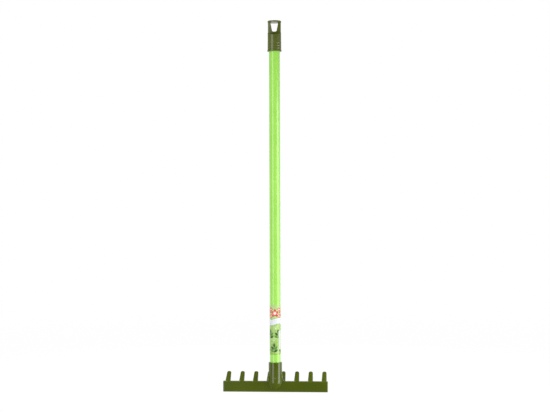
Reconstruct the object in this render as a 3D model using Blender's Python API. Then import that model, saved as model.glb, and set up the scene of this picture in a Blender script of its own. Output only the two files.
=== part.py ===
# A child's garden rake: a moulded head with eight tines on a coated steel tube, with a hanging cap.
# Lengths are in metres and angles in degrees. The handle runs along Z, the bar along X, and the tines
# point to +Y. The origin is the point of the hanging hole that rests on a hook.

import math

import bmesh
import bpy

# Handle tube
TUBE_DIAMETER = 0.022
TUBE_WALL = 0.0008
TUBE_LENGTH = 0.696

# Fits
FIT_GAP = 0.0003  # left between two pieces that slide into or seat on each other
LABEL_GAP = 0.0001  # the glue line under the label

# Bar of the head
BAR_HEIGHT = 0.0218
BAR_THICKNESS = 0.008
BAR_END_MARGIN = 0.0017  # from the side of the outermost tine to the end of the bar
BAR_TOE_RADIUS = 0.0020  # lower front edge
BAR_EDGE_RADIUS = 0.0014  # the other long edges
BAR_END_RADIUS = 0.0016  # rounding towards each end

# Tines
TINE_COUNT = 8
TINE_PITCH = 0.02805
TINE_REACH = 0.040  # from the back of the bar to the tip
TINE_ROOT_WIDTH = 0.0124
TINE_TIP_WIDTH = 0.0084
TINE_ROOT_DEPTH = 0.0150
TINE_TIP_DEPTH = 0.0064
TINE_TOP_DROP = 0.0012  # from the top of the bar down to the top of a tine's root
TINE_ROOT_SLOPE = 20.0
TINE_TIP_SLOPE = 35.0
TINE_FILLET = 0.0014
TINE_TIP_ROUND = 0.0032
TINE_SQUARENESS = 2.2  # exponent of the rounded section, where 2 is an ellipse

# Socket of the head
SOCKET_WALL = 0.0023
SOCKET_RISE = 0.0383  # from the top of the bar to the mouth
SOCKET_SINK = 0.0025  # from the top of the bar down to the floor of the bore
SOCKET_LEAD_IN = 0.0006
SOCKET_RIM_RADIUS = 0.0010
NOSE_TOE = 0.0035  # from the underside of the bar up to the tip of the nose
NOSE_ROUNDNESS = 1.55  # exponent of the nose's outline, where 1 is a cone and 2 an ellipse
GUSSET_REACH = 0.0034  # how far the side webs spread from the socket along the bar
GUSSET_HEIGHT = 0.018
GUSSET_THICKNESS = 0.006

# Fixing pin and the plug that it is driven into
PIN_RISE = 0.007  # from the top of the bar to the pin's axis
PIN_DIAMETER = 0.0020
PIN_LENGTH = 0.009
PIN_POINT = 0.0025
PIN_HEAD_DIAMETER = 0.0036
PIN_HEAD_HEIGHT = 0.0010
PIN_HEAD_ROUND = 0.0008
PIN_SEAT_DEPTH = 0.0003  # flat seat below the socket's side
PLUG_WALL = 0.0025
PLUG_FLANGE = 0.0015
PLUG_COVER = 0.012  # plug above the pin's axis

# Hanging cap
CAP_WALL = 0.0023
CAP_BORE_DEPTH = 0.0293
CAP_LEAD_IN = 0.0005
CAP_CROWN = 0.0094  # from the end of the bore to the ridge of the shoulder
CAP_SHOULDER_SLOPE = 23.0
CAP_DISC = 0.003
CAP_DISC_OVERHANG = 0.00065  # disc beyond the sides of the loop
CAP_EDGE_RADIUS = 0.0008
LOOP_THICKNESS = 0.0102  # at the middle of its width
LOOP_CROWN = 0.0012  # how far each face falls back from there to the sides
LOOP_STEP = 0.00045  # sides of the loop inside those of the sleeve
HOLE_SILL = 0.0013  # from the ridge of the shoulder to the bottom of the hole
HOLE_HEIGHT = 0.0188
HOLE_TOP_WIDTH = 0.0162
HOLE_BOTTOM_WIDTH = 0.0088
HOLE_TOP_RADIUS = 0.0025
HOLE_BOTTOM_RADIUS = 0.0034
RIB_COUNT = 3
RIB_PITCH = 0.00525
RIB_WIDTH = 0.0024
RIB_HEIGHT = 0.0004
LIP_WIDTH = 0.0034
LIP_HEIGHT = 0.0008

# Label
LABEL_HEIGHT = 0.1005
LABEL_RISE = 0.0157  # from the mouth of the socket to the label's lower edge
LABEL_FILM = 0.00015
LABEL_WRAP = 344.0

# Faceting
SIDES = 48
ARC_STEPS = 4
TINE_SIDES = 16
TINE_STEPS = 5
NOSE_STEPS = 8
GUSSET_STEPS = 4
LOOP_STEPS = 12
CUT_MARGIN = 0.005  # how far a cutter runs past what it cuts
LEAST_RADIUS = 0.0003  # a rounding that is drawn in keeps at least this much
WELD = 1e-7
SMOOTH_ANGLE = 35.0

# Sizes that follow from those above
TUBE_RADIUS = TUBE_DIAMETER / 2
BORE_RADIUS = TUBE_RADIUS + FIT_GAP
BAR_LENGTH = (TINE_COUNT - 1) * TINE_PITCH + TINE_ROOT_WIDTH + 2 * BAR_END_MARGIN
BAR_BACK = BAR_THICKNESS / 2
SOCKET_RADIUS = BORE_RADIUS + SOCKET_WALL
SOCKET_MOUTH = BAR_HEIGHT + SOCKET_RISE
SOCKET_FLOOR = BAR_HEIGHT - SOCKET_SINK
PIN_Z = BAR_HEIGHT + PIN_RISE
PIN_SEAT = SOCKET_RADIUS - PIN_SEAT_DEPTH
PLUG_FOOT = SOCKET_FLOOR + FIT_GAP
PLUG_RADIUS = TUBE_RADIUS - TUBE_WALL - FIT_GAP
PLUG_TOP = PIN_Z + PLUG_COVER
TUBE_FOOT = PLUG_FOOT + PLUG_FLANGE + FIT_GAP
TUBE_TOP = TUBE_FOOT + TUBE_LENGTH
CAP_RADIUS = BORE_RADIUS + CAP_WALL
CAP_FOOT = TUBE_TOP + FIT_GAP - CAP_BORE_DEPTH
CAP_RIDGE = CAP_FOOT + CAP_BORE_DEPTH + CAP_CROWN
HOLE_FLOOR = CAP_RIDGE + HOLE_SILL
HANG_POINT = HOLE_FLOOR + HOLE_HEIGHT
CAP_TOP = HANG_POINT + CAP_DISC
LABEL_FOOT = SOCKET_MOUTH + LABEL_RISE


def material(name, srgb, roughness, metallic=0.0):
    """Principled material of one plain colour, given as 0 to 255 in sRGB."""
    made = bpy.data.materials.new(name)
    made.use_nodes = True
    shader = made.node_tree.nodes["Principled BSDF"]
    linear = [((c / 255 + 0.055) / 1.055) ** 2.4 for c in srgb]
    shader.inputs["Base Color"].default_value = (*linear, 1)
    shader.inputs["Roughness"].default_value = roughness
    shader.inputs["Metallic"].default_value = metallic
    return made


def piece(name, bm, parent, finish=None):
    """Object from a bmesh, hung on the frame. Without a finish it is a cutter or a guide."""
    bmesh.ops.recalc_face_normals(bm, faces=bm.faces)
    mesh = bpy.data.meshes.new(name)
    bm.to_mesh(mesh)
    bm.free()
    mesh.shade_smooth()
    mesh.set_sharp_from_angle(angle=math.radians(SMOOTH_ANGLE))
    made = bpy.data.objects.new(name, mesh)
    bpy.context.scene.collection.objects.link(made)
    made.parent = parent
    if finish:
        mesh.materials.append(finish)
    else:
        made.hide_render = True
        made.display_type = "WIRE"
    return made


def combine(target, tool, operation):
    """Boolean of the target with a tool."""
    step = target.modifiers.new(f"{operation.lower()} {tool.name}", "BOOLEAN")
    step.operation = operation
    step.solver = "EXACT"
    step.object = tool


def arc(centre, radius, start, end, steps=ARC_STEPS):
    """Points of an arc in a plane, both ends among them."""
    angles = [math.radians(start + (end - start) * i / steps) for i in range(steps + 1)]
    return [(centre[0] + radius * math.cos(a), centre[1] + radius * math.sin(a)) for a in angles]


def rounded_outline(corners, radii):
    """Closed outline through corners given anticlockwise, each rounded by its own radius."""
    points = []
    for i, (x, y) in enumerate(corners):
        back = corners[i - 1]
        on = corners[(i + 1) % len(corners)]
        arrive = math.atan2(y - back[1], x - back[0])
        leave = math.atan2(on[1] - y, on[0] - x)
        turn = (leave - arrive) % math.tau
        run = radii[i] * math.tan(turn / 2)
        start = (x - run * math.cos(arrive), y - run * math.sin(arrive))
        centre = (start[0] - radii[i] * math.sin(arrive), start[1] + radii[i] * math.cos(arrive))
        first = math.degrees(arrive) - 90
        points += arc(centre, radii[i], first, first + math.degrees(turn))
    return points


def turned(profile, closed=False):
    """Solid of revolution about Z of an (r, z) profile that ends on the axis, or of a closed one."""
    bm = bmesh.new()
    verts = [bm.verts.new((r, 0, z)) for r, z in profile]
    edges = [bm.edges.new(pair) for pair in zip(verts, verts[1:])]
    if closed:
        edges.append(bm.edges.new((verts[-1], verts[0])))
    bmesh.ops.spin(
        bm,
        geom=verts + edges,
        cent=(0, 0, 0),
        axis=(0, 0, 1),
        angle=math.tau,
        steps=SIDES,
        use_merge=True,
    )
    bmesh.ops.remove_doubles(bm, verts=bm.verts, dist=WELD)
    return bm


def lofted(rings):
    """Solid skinned over closed rings that have the same number of points."""
    bm = bmesh.new()
    loops = [[bm.verts.new(point) for point in ring] for ring in rings]
    count = len(loops[0])
    for low, high in zip(loops, loops[1:]):
        for i in range(count):
            j = (i + 1) % count
            bm.faces.new((low[i], low[j], high[j], high[i]))
    bm.faces.new(reversed(loops[0]))
    bm.faces.new(loops[-1])
    return bm


def bar_ring(x, inset):
    """Rounded section of the bar at x, drawn in by inset."""
    front = -BAR_BACK + inset
    back = BAR_BACK - inset
    foot = inset
    top = BAR_HEIGHT - inset
    corners = [(front, foot), (back, foot), (back, top), (front, top)]
    edge = max(min(BAR_EDGE_RADIUS, BAR_THICKNESS / 4) - inset, LEAST_RADIUS)
    toe = max(min(BAR_TOE_RADIUS, BAR_THICKNESS / 2) - inset, LEAST_RADIUS)
    outline = rounded_outline(corners, [toe, edge, edge, edge])
    return [(x, y, z) for y, z in outline]


def bar_shape():
    """Straight bar whose sections draw in towards both ends along a quarter circle."""
    radius = min(BAR_END_RADIUS, BAR_THICKNESS / 3)
    bends = arc((BAR_LENGTH / 2 - radius, radius), radius, -90, 0)
    right = [bar_ring(x, inset) for x, inset in bends]
    left = [bar_ring(-x, inset) for x, inset in reversed(bends)]
    return lofted(left + right)


def tine_line(out):
    """Height and slope of a tine's middle line at a distance behind the bar."""
    root = math.tan(math.radians(TINE_ROOT_SLOPE))
    tip = math.tan(math.radians(TINE_TIP_SLOPE))
    share = out / TINE_REACH
    start = BAR_HEIGHT - TINE_TOP_DROP - TINE_ROOT_DEPTH / 2
    height = start + out * (root + (tip - root) * share / 2)
    return height, math.atan(root + (tip - root) * share)


def tine_ring(x, out, past=0.0, scale=1.0):
    """Section of a tine, square to its middle line, moved past that place along the line."""
    height, slope = tine_line(out)
    share = max(out, 0) / TINE_REACH
    near = 1 - min(max(out / TINE_FILLET, 0), 1)
    fillet = TINE_FILLET * (1 - math.sqrt(1 - near**2))
    width = TINE_ROOT_WIDTH + (TINE_TIP_WIDTH - TINE_ROOT_WIDTH) * share
    depth = TINE_ROOT_DEPTH + (TINE_TIP_DEPTH - TINE_ROOT_DEPTH) * share
    centre_y = BAR_BACK + out + past * math.cos(slope)
    centre_z = height + past * math.sin(slope)
    ring = []
    for i in range(TINE_SIDES):
        turn = math.tau * (i + 0.5) / TINE_SIDES
        across = math.copysign(abs(math.cos(turn)) ** (2 / TINE_SQUARENESS), math.cos(turn))
        along = math.copysign(abs(math.sin(turn)) ** (2 / TINE_SQUARENESS), math.sin(turn))
        side = across * (width / 2 + fillet) * scale
        up = along * depth / 2 * scale
        ring.append((x + side, centre_y - up * math.sin(slope), centre_z + up * math.cos(slope)))
    return ring


def tine_shape(x):
    """Tapered, upswept finger that starts inside the bar and ends in a rounded tip."""
    tip_slope = math.radians(TINE_TIP_SLOPE)
    straight_end = TINE_REACH - TINE_TIP_ROUND * math.cos(tip_slope)
    stations = [-BAR_BACK]
    stations += [TINE_FILLET * i / ARC_STEPS for i in range(ARC_STEPS)]
    run = straight_end - TINE_FILLET
    stations += [TINE_FILLET + run * i / TINE_STEPS for i in range(TINE_STEPS + 1)]
    rings = [tine_ring(x, out) for out in stations]
    for i in range(1, ARC_STEPS + 1):
        turn = math.radians(90) * i / (ARC_STEPS + 0.5)
        rings.append(tine_ring(x, straight_end, TINE_TIP_ROUND * math.sin(turn), math.cos(turn)))
    return lofted(rings)


def socket_shape():
    """Turned outside of the socket: a nose down over the bar, a straight side with a ring, and a rim."""
    profile = [(0, NOSE_TOE)]
    for i in range(1, NOSE_STEPS + 1):
        turn = math.radians(90) * i / NOSE_STEPS
        wide = math.sin(turn) ** (2 / NOSE_ROUNDNESS)
        deep = max(math.cos(turn), 0) ** (2 / NOSE_ROUNDNESS)
        profile.append((SOCKET_RADIUS * wide, BAR_HEIGHT - (BAR_HEIGHT - NOSE_TOE) * deep))
    profile.append((SOCKET_RADIUS, PIN_Z + PIN_HEAD_DIAMETER))
    rim = (SOCKET_RADIUS - SOCKET_RIM_RADIUS, SOCKET_MOUTH - SOCKET_RIM_RADIUS)
    profile += arc(rim, SOCKET_RIM_RADIUS, 0, 90)
    profile.append((0, SOCKET_MOUTH))
    return turned(profile)


def gusset_shape():
    """Web in the plane of the bar that spreads the socket's foot to both sides."""
    inside = SOCKET_RADIUS - SOCKET_WALL / 2
    spread = SOCKET_RADIUS + GUSSET_REACH - inside
    right = [(inside + spread, BAR_HEIGHT / 2)]
    for i in range(GUSSET_STEPS + 1):
        share = i / GUSSET_STEPS
        right.append((inside + spread * (1 - share) ** 2, BAR_HEIGHT + GUSSET_HEIGHT * share))
    outline = right + [(-x, z) for x, z in reversed(right)]
    half = GUSSET_THICKNESS / 2
    return lofted([[(x, y, z) for x, z in outline] for y in (-half, half)])


def bore_shape(floor, mouth, lead_in, past):
    """Blind bore for the tube's end, from its floor to a chamfered mouth and past it."""
    inward = math.copysign(lead_in, mouth - floor)
    return turned(
        [
            (0, floor),
            (BORE_RADIUS, floor),
            (BORE_RADIUS, mouth - inward),
            (BORE_RADIUS + lead_in, mouth),
            (BORE_RADIUS + lead_in, past),
            (0, past),
        ]
    )


def pin_hole_shape():
    """Clearance hole and flat seat, with the seat at zero and +Z pointing out of the socket."""
    hole = PIN_DIAMETER / 2 + FIT_GAP
    recess = PIN_HEAD_DIAMETER / 2 + FIT_GAP
    depth = PIN_LENGTH + FIT_GAP
    return turned(
        [(0, -depth), (hole, -depth), (hole, 0), (recess, 0), (recess, CUT_MARGIN), (0, CUT_MARGIN)]
    )


def pin_shape():
    """Pointed shank under a low domed head, laid out like its hole."""
    shank = PIN_DIAMETER / 2
    head = PIN_HEAD_DIAMETER / 2
    point = FIT_GAP - PIN_LENGTH
    crown = FIT_GAP + PIN_HEAD_HEIGHT
    profile = [(0, point), (shank, point + PIN_POINT), (shank, FIT_GAP), (head, FIT_GAP)]
    profile += arc((head - PIN_HEAD_ROUND, crown - PIN_HEAD_ROUND), PIN_HEAD_ROUND, 0, 90)
    profile.append((0, crown))
    return turned(profile)


def plug_shape():
    """Cup that closes the foot of the tube, with a flange under the tube's end."""
    inner = PLUG_RADIUS - PLUG_WALL
    flange = TUBE_RADIUS - TUBE_WALL / 2
    shelf = PLUG_FOOT + PLUG_FLANGE
    return turned(
        [
            (0, PLUG_FOOT),
            (flange, PLUG_FOOT),
            (flange, shelf),
            (PLUG_RADIUS, shelf),
            (PLUG_RADIUS, PLUG_TOP),
            (inner, PLUG_TOP),
            (inner, shelf + PLUG_WALL),
            (0, shelf + PLUG_WALL),
        ]
    )


def tube_shape():
    """Thin-walled tube, with a ring above the pin that keeps its long facets whole."""
    levels = [TUBE_FOOT, PLUG_TOP, TUBE_TOP]
    inner = [(TUBE_RADIUS - TUBE_WALL, z) for z in reversed(levels)]
    outer = [(TUBE_RADIUS, z) for z in levels]
    return turned(outer + inner, closed=True)


def ring_bump(middle, width, height):
    """Raised ring on the sleeve of the cap, with sloping flanks."""
    return [
        (CAP_RADIUS, middle - width / 2),
        (CAP_RADIUS + height, middle - width / 4),
        (CAP_RADIUS + height, middle + width / 4),
        (CAP_RADIUS, middle + width / 2),
    ]


def cap_shape():
    """Turned outside of the cap before the loop is cut: lip, ribs, sleeve, loop and top disc."""
    loop = CAP_RADIUS - LOOP_STEP
    disc = loop + CAP_DISC_OVERHANG
    profile = [(0, CAP_FOOT), (CAP_RADIUS + LIP_HEIGHT / 2, CAP_FOOT)]
    profile += ring_bump(CAP_FOOT + LIP_WIDTH / 2, LIP_WIDTH, LIP_HEIGHT)[1:]
    for i in range(1, RIB_COUNT + 1):
        profile += ring_bump(CAP_FOOT + LIP_WIDTH / 2 + i * RIB_PITCH, RIB_WIDTH, RIB_HEIGHT)
    profile += [(CAP_RADIUS, CAP_RIDGE - LOOP_STEP), (loop, CAP_RIDGE)]
    profile += [(loop, HANG_POINT), (disc, HANG_POINT)]
    profile += arc((disc - CAP_EDGE_RADIUS, CAP_TOP - CAP_EDGE_RADIUS), CAP_EDGE_RADIUS, 0, 90)
    profile.append((0, CAP_TOP))
    return turned(profile)


def loop_cut_shape(side):
    """Space beside the crowned loop, over a shoulder that slopes down and out, on the side of +Y or -Y."""
    fall = math.tan(math.radians(CAP_SHOULDER_SLOPE))
    far = CAP_RADIUS + CUT_MARGIN
    rings = []
    for i in range(LOOP_STEPS + 1):
        x = far * (2 * i / LOOP_STEPS - 1)
        near = LOOP_THICKNESS / 2 - LOOP_CROWN * min(abs(x) / CAP_RADIUS, 1) ** 2
        outline = [
            (near, CAP_RIDGE - near * fall),
            (far, CAP_RIDGE - far * fall),
            (far, HANG_POINT),
            (near, HANG_POINT),
        ]
        rings.append([(x, side * y, z) for y, z in outline])
    return lofted(rings)


def hang_hole_shape():
    """Hanging hole, wider at the top, right through the loop."""
    top = HOLE_TOP_WIDTH / 2
    bottom = HOLE_BOTTOM_WIDTH / 2
    corners = [(-bottom, HOLE_FLOOR), (bottom, HOLE_FLOOR), (top, HANG_POINT), (-top, HANG_POINT)]
    radii = [HOLE_BOTTOM_RADIUS, HOLE_BOTTOM_RADIUS, HOLE_TOP_RADIUS, HOLE_TOP_RADIUS]
    outline = rounded_outline(corners, radii)
    far = CAP_RADIUS + CUT_MARGIN
    return lofted([[(x, y, z) for x, z in outline] for y in (-far, far)])


def label_shape():
    """Printed film wrapped round the tube, open in a narrow strip at the back."""
    inner = TUBE_RADIUS + LABEL_GAP
    start = 90 + (360 - LABEL_WRAP) / 2
    outline = arc((0, 0), inner + LABEL_FILM, start, start + LABEL_WRAP, SIDES)
    outline += arc((0, 0), inner, start + LABEL_WRAP, start, SIDES)
    return lofted([[(x, y, z) for x, y in outline] for z in (LABEL_FOOT, LABEL_FOOT + LABEL_HEIGHT)])


def place_pin(obj):
    """Turn a piece made about Z to point out of the front of the socket, at the pin's place."""
    obj.location = (0, -PIN_SEAT, PIN_Z)
    obj.rotation_euler = (math.radians(90), 0, 0)


def add_head(frame, pin_hole):
    """One moulding: bar, tines, socket and side webs, bored for the tube and the pin."""
    plastic = material("olive head plastic", (78, 93, 28), 0.38)
    head = piece("rake_head", bar_shape(), frame, plastic)
    for i in range(TINE_COUNT):
        x = (i - (TINE_COUNT - 1) / 2) * TINE_PITCH
        combine(head, piece(f"tine_{i + 1}", tine_shape(x), frame), "UNION")
    combine(head, piece("gusset", gusset_shape(), frame), "UNION")
    combine(head, piece("socket", socket_shape(), frame), "UNION")
    bore = bore_shape(SOCKET_FLOOR, SOCKET_MOUTH, SOCKET_LEAD_IN, SOCKET_MOUTH + CUT_MARGIN)
    combine(head, piece("socket_bore", bore, frame), "DIFFERENCE")
    combine(head, pin_hole, "DIFFERENCE")


def add_tube(frame, pin_hole):
    """Steel tube with a lime coat, drilled for the pin."""
    coat = material("lime tube coat", (152, 232, 82), 0.25)
    combine(piece("handle_tube", tube_shape(), frame, coat), pin_hole, "DIFFERENCE")


def add_plug(frame, pin_hole):
    """Plug in the foot of the tube, drilled for the pin."""
    plastic = material("black plug plastic", (40, 40, 40), 0.5)
    combine(piece("tube_plug", plug_shape(), frame, plastic), pin_hole, "DIFFERENCE")


def add_pin(frame):
    """Steel pin that holds the head on the tube."""
    place_pin(piece("fixing_pin", pin_shape(), frame, material("dull zinc", (120, 128, 92), 0.4, 1.0)))


def add_cap(frame):
    """Cap on the top of the tube, with a loop and a hole to hang it by."""
    plastic = material("olive cap plastic", (85, 95, 42), 0.42)
    cap = piece("hang_cap", cap_shape(), frame, plastic)
    combine(cap, piece("loop_front", loop_cut_shape(-1), frame), "DIFFERENCE")
    combine(cap, piece("loop_back", loop_cut_shape(1), frame), "DIFFERENCE")
    combine(cap, piece("hang_hole", hang_hole_shape(), frame), "DIFFERENCE")
    bore = bore_shape(CAP_FOOT + CAP_BORE_DEPTH, CAP_FOOT, CAP_LEAD_IN, CAP_FOOT - CUT_MARGIN)
    combine(cap, piece("cap_bore", bore, frame), "DIFFERENCE")


def add_label(frame):
    """Printed label just above the socket."""
    piece("label", label_shape(), frame, material("printed film", (205, 228, 130), 0.3))


def main():
    for leftover in list(bpy.data.objects):
        bpy.data.objects.remove(leftover, do_unlink=True)
    frame = bpy.data.objects.new("rake", None)
    bpy.context.scene.collection.objects.link(frame)
    frame.location = (0, 0, -HANG_POINT)
    pin_hole = piece("pin_hole", pin_hole_shape(), frame)
    place_pin(pin_hole)
    add_head(frame, pin_hole)
    add_tube(frame, pin_hole)
    add_plug(frame, pin_hole)
    add_pin(frame)
    add_cap(frame)
    add_label(frame)


main()
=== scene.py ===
import math

import bmesh
import bpy
import numpy as np
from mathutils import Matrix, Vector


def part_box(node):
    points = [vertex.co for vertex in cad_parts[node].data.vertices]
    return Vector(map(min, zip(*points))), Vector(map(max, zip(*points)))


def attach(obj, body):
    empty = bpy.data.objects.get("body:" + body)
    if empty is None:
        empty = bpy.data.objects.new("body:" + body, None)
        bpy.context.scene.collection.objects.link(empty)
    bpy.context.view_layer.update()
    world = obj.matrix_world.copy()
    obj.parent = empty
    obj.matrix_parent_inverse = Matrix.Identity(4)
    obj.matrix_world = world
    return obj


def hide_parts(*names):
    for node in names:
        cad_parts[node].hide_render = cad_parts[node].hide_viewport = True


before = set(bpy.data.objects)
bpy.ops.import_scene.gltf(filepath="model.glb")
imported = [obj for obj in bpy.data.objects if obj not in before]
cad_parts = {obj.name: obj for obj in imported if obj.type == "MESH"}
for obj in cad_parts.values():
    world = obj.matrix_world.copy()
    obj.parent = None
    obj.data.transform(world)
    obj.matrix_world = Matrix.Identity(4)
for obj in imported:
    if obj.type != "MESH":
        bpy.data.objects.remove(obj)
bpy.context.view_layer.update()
mm = 0.001  # shapes are worked out in millimetres and written in metres
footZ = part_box("rake_head")[0].z / mm  # underside of the bar
scene = bpy.context.scene
scene.view_settings.view_transform = "Standard"
print("frame loaded, underside of the bar at", round(footZ, 2), "mm")


# Mesh helpers

def gridMesh(name, grid, closeRows=False, closeCols=True):
    # rows x columns x 3 points in mm; each four neighbours are one quad, and points that meet are welded
    rows, cols = grid.shape[:2]
    index = np.arange(rows * cols).reshape(rows, cols)
    if closeCols:
        index = np.concatenate([index, index[:, :1]], 1)
    if closeRows:
        index = np.concatenate([index, index[:1]], 0)
    quads = np.stack([index[:-1, :-1], index[:-1, 1:], index[1:, 1:], index[1:, :-1]], -1).reshape(-1, 4)
    mesh = bpy.data.meshes.new(name)
    mesh.from_pydata(grid.reshape(-1, 3) * mm, [], quads)
    cleanMesh(mesh)
    return mesh


def cleanMesh(mesh, weld=2e-7, least=1e-8):
    # welds points within weld metres and removes edges and faces that have no size
    bm = bmesh.new()
    bm.from_mesh(mesh)
    bmesh.ops.remove_doubles(bm, verts=bm.verts, dist=weld)
    bmesh.ops.dissolve_degenerate(bm, edges=bm.edges, dist=least)
    many = [face for face in bm.faces if len(face.verts) > 4]  # left by a cut
    bmesh.ops.triangulate(bm, faces=many, ngon_method="BEAUTY")
    bmesh.ops.recalc_face_normals(bm, faces=bm.faces)
    bm.to_mesh(mesh)
    bm.free()


def newObject(name, mesh):
    made = bpy.data.objects.new(name, mesh)
    scene.collection.objects.link(made)
    return made


def joinGrids(name, grids):
    # several closed grids as one mesh of separate shells
    bm = bmesh.new()
    for grid in grids:
        part = gridMesh("shell", grid)
        bm.from_mesh(part)
        bpy.data.meshes.remove(part)
    mesh = bpy.data.meshes.new(name)
    bm.to_mesh(mesh)
    bm.free()
    return mesh


def carve(target, toolMesh, operation):
    # exact boolean, kept as the target's own mesh
    tool = newObject("tool", toolMesh)
    step = target.modifiers.new("carve", "BOOLEAN")
    step.operation = operation
    step.solver = "EXACT"
    step.object = tool
    graph = bpy.context.evaluated_depsgraph_get()
    done = bpy.data.meshes.new_from_object(target.evaluated_get(graph))
    target.modifiers.clear()
    old = target.data
    done.name = old.name
    target.data = done
    bpy.data.meshes.remove(old)
    bpy.data.objects.remove(tool)
    bpy.data.meshes.remove(toolMesh)


def finishPiece(made, material, node, creaseAngle=38):
    made.data.shade_smooth()
    made.data.set_sharp_from_angle(angle=math.radians(creaseAngle))
    made.data.materials.clear()
    made.data.materials.append(material)
    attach(made, "root")
    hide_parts(node)
    print(made.name, len(made.data.polygons), "faces")


def markEdges(mesh, reach, longest=1e-3, rounds=2):
    # attribute edgeLift, 0 to 1: how convex the surface is, from how the normals spread along each edge,
    # bend = (n1 - n2) . (p1 - p2) / |p1 - p2|^2; a bend radius of reach metres gives 1
    # it sets where edges are painted paler: partly wear, partly a painted highlight
    count = len(mesh.vertices)
    place = np.zeros(count * 3)
    mesh.vertices.foreach_get("co", place)
    place = place.reshape(-1, 3)
    normal = np.zeros(count * 3)
    mesh.vertex_normals.foreach_get("vector", normal)
    normal = normal.reshape(-1, 3)
    pair = np.zeros(len(mesh.edges) * 2, np.int32)
    mesh.edges.foreach_get("vertices", pair)
    a, b = pair.reshape(-1, 2).T
    run = place[a] - place[b]
    length = np.maximum(np.linalg.norm(run, axis=1), 1e-6)
    bend = np.einsum("ij,ij->i", normal[a] - normal[b], run) / length**2
    weight = np.minimum(length, longest)
    lift = np.zeros(count)
    total = np.full(count, 1e-9)
    for end in (a, b):
        np.add.at(lift, end, bend * weight)
        np.add.at(total, end, weight)
    lift = np.clip(lift / total * reach, 0, 1)
    for _ in range(rounds):  # averaged with the neighbours
        spread, share = lift.copy(), np.ones(count)
        np.add.at(spread, a, lift[b])
        np.add.at(spread, b, lift[a])
        np.add.at(share, a, 1)
        np.add.at(share, b, 1)
        lift = spread / share
    mesh.attributes.new("edgeLift", "FLOAT", "POINT").data.foreach_set("value", lift.astype(np.float32))


def blendMax(a, b, soft):
    # the larger of two values, rounded over where they are within soft of each other
    near = np.maximum(soft - np.abs(a - b), 0) / soft
    return np.maximum(a, b) + near**2 * soft / 4


def blendMin(a, b, soft):
    # the smaller of two values, rounded in the same way
    return -blendMax(-a, -b, soft)


def easeStep(low, high, value):
    # 0 below low, 1 above high, and 3 t^2 - 2 t^3 between
    share = np.clip((value - low) / (high - low), 0, 1)
    return share * share * (3 - 2 * share)


# Node helpers

def newMaterial(name):
    made = bpy.data.materials.new(name)
    made.use_nodes = True
    tree = made.node_tree
    tree.nodes.clear()
    shader = tree.nodes.new("ShaderNodeBsdfPrincipled")
    out = tree.nodes.new("ShaderNodeOutputMaterial")
    tree.links.new(shader.outputs["BSDF"], out.inputs["Surface"])
    return made, tree, shader


def addNode(tree, kind, inputs=None, **settings):
    made = tree.nodes.new("ShaderNode" + kind)
    for key, value in settings.items():
        setattr(made, key, value)
    for key, value in (inputs or {}).items():
        if isinstance(value, bpy.types.NodeSocket):
            tree.links.new(value, made.inputs[key])
        else:
            made.inputs[key].default_value = value
    return made


def calc(tree, operation, *values):
    return addNode(tree, "Math", dict(enumerate(values)), operation=operation).outputs[0]


def ranged(tree, value, low, high, outLow, outHigh, kind="LINEAR"):
    places = {"Value": value, "From Min": low, "From Max": high, "To Min": outLow, "To Max": outHigh}
    return addNode(tree, "MapRange", places, interpolation_type=kind).outputs["Result"]


def mixColour(tree, share, first, second):
    made = addNode(tree, "Mix", data_type="RGBA")
    for key, value in (("Factor", share), ("A", first), ("B", second)):
        socket = [s for s in made.inputs if s.name == key and s.enabled][0]
        if isinstance(value, bpy.types.NodeSocket):
            tree.links.new(value, socket)
        else:
            socket.default_value = value
    return [s for s in made.outputs if s.enabled][0]


def paint(red, green, blue):
    # an sRGB colour as Blender's linear one
    raw = np.array([red, green, blue]) / 255
    return (*np.where(raw <= 0.04045, raw / 12.92, ((raw + 0.055) / 1.055) ** 2.4).tolist(), 1.0)


def noise(tree, place, scale, detail=2.0, roughness=0.5):
    places = {"Vector": place, "Scale": scale, "Detail": detail, "Roughness": roughness}
    return addNode(tree, "TexNoise", places).outputs["Fac"]


def bump(tree, height, strength, distance):
    places = {"Height": height, "Strength": strength, "Distance": distance}
    return addNode(tree, "Bump", places).outputs["Normal"]


# Finishes

middleSpan = (0.3, 0.7)  # where most of a noise texture's values lie
plasticGrain = dict(speckSpan=(0.62, 0.78), speckShare=0.22, glossSpan=(0.3, 0.75), depth=0.0002)


def mouldedPlastic(name, look):
    # satin moulded plastic: slow tone drift, fine mould grain, edges painted paler as wear and highlight,
    # uneven gloss
    made, tree, shader = newMaterial(name)
    place = addNode(tree, "TexCoord").outputs["Object"]
    drift = noise(tree, place, look["driftScale"], 3.0)
    grain = noise(tree, place, look["grainScale"], 3.0, 0.6)
    haze = noise(tree, place, look["hazeScale"], 4.0, 0.65)
    body = mixColour(tree, ranged(tree, drift, *middleSpan, 0, 1), look["dark"], look["light"])
    specks = ranged(tree, grain, *plasticGrain["speckSpan"], 0, plasticGrain["speckShare"])
    speck = mixColour(tree, specks, body, look["speck"])
    # convex edges are painted paler: partly wear, partly a painted highlight where rounded edges catch the
    # light
    edge = addNode(tree, "Attribute", attribute_name="edgeLift").outputs["Fac"]
    wearAndHighlight = calc(tree, "MULTIPLY", edge, ranged(tree, haze, *middleSpan, look["edgeLow"], look["edgeHigh"]))
    tree.links.new(mixColour(tree, wearAndHighlight, speck, look["edge"]), shader.inputs["Base Color"])
    rough = ranged(tree, haze, *plasticGrain["glossSpan"], look["roughLow"], look["roughHigh"])
    tree.links.new(rough, shader.inputs["Roughness"])
    tree.links.new(bump(tree, grain, look["grainBump"], plasticGrain["depth"]), shader.inputs["Normal"])
    shader.inputs["IOR"].default_value = look["ior"]
    return made


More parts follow.
